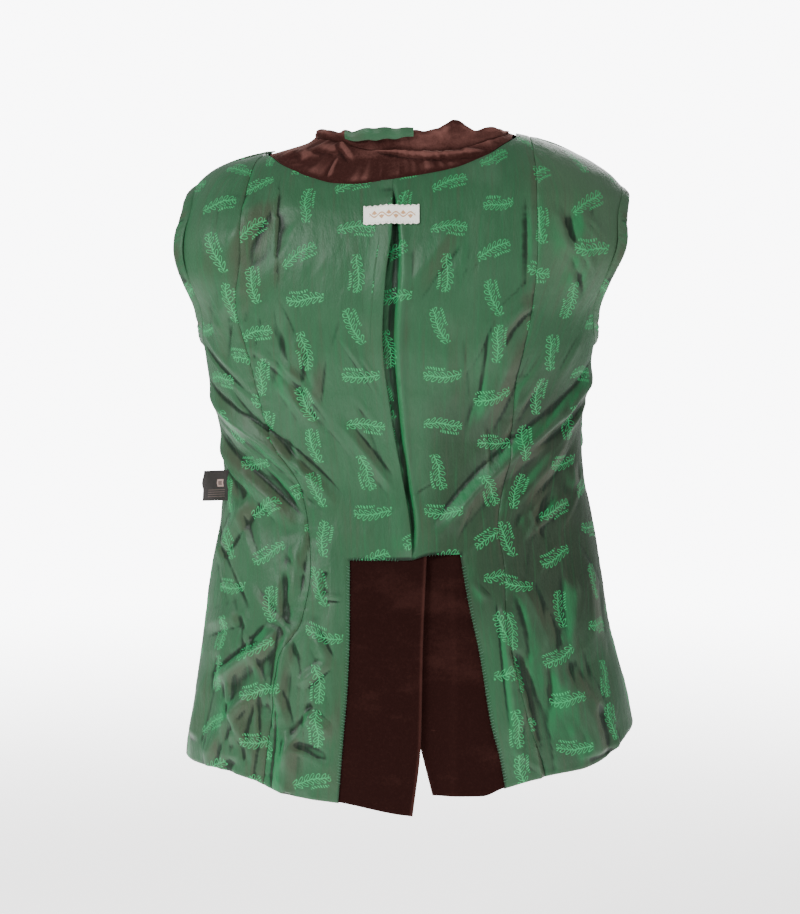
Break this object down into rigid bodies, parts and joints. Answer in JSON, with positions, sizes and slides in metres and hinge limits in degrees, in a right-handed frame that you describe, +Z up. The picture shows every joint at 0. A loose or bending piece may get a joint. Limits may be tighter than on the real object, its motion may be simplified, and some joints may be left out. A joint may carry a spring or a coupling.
{
  "type": "blazer",
  "caption": "Velvet blazer turned inside out and worn, satin lining outermost, with a centre-back pleat and vent, sleeves hanging inside and a buttoned front.",
  "frame": {"origin": "on the upright centre line at the base of the wearer's neck, level with the nape", "axes": "+Z up along the body, -Y towards the wearer's back, +X to the right seen from behind"},
  "size_m": [0.4886, 0.3027, 0.749],
  "materials": {
    "velvet": "cotton velvet pile",
    "lining": "satin with a small woven sprig",
    "label_cloth": "woven satin",
    "care_cloth": "printed ribbon",
    "horn": "polished horn look"
  },
  "bodies": {
    "root": {"shell_back_left": "velvet", "shell_back_right": "velvet", "shell_side_left": "velvet", "shell_side_right": "velvet", "shell_front_left": "velvet", "shell_front_right": "velvet", "facing_front_left": "velvet", "facing_front_right": "velvet", "facing_vent_left": "velvet", "facing_vent_right": "velvet", "lining_back_left": "lining", "lining_back_right": "lining", "lining_side_back_left": "lining", "lining_side_back_right": "lining", "lining_front_left": "lining", "lining_front_right": "lining", "sleeve_left": "velvet", "sleeve_right": "velvet", "sleeve_lining_left": "lining", "sleeve_lining_right": "lining", "lapel_left": "velvet", "lapel_right": "velvet", "facing_neck_back": "velvet", "collar": "velvet", "hanger_loop": "lining", "label": "label_cloth", "care_label": "care_cloth", "button_1": "horn", "button_2": "horn", "button_3": "horn"}
  },
  "joints": []
}
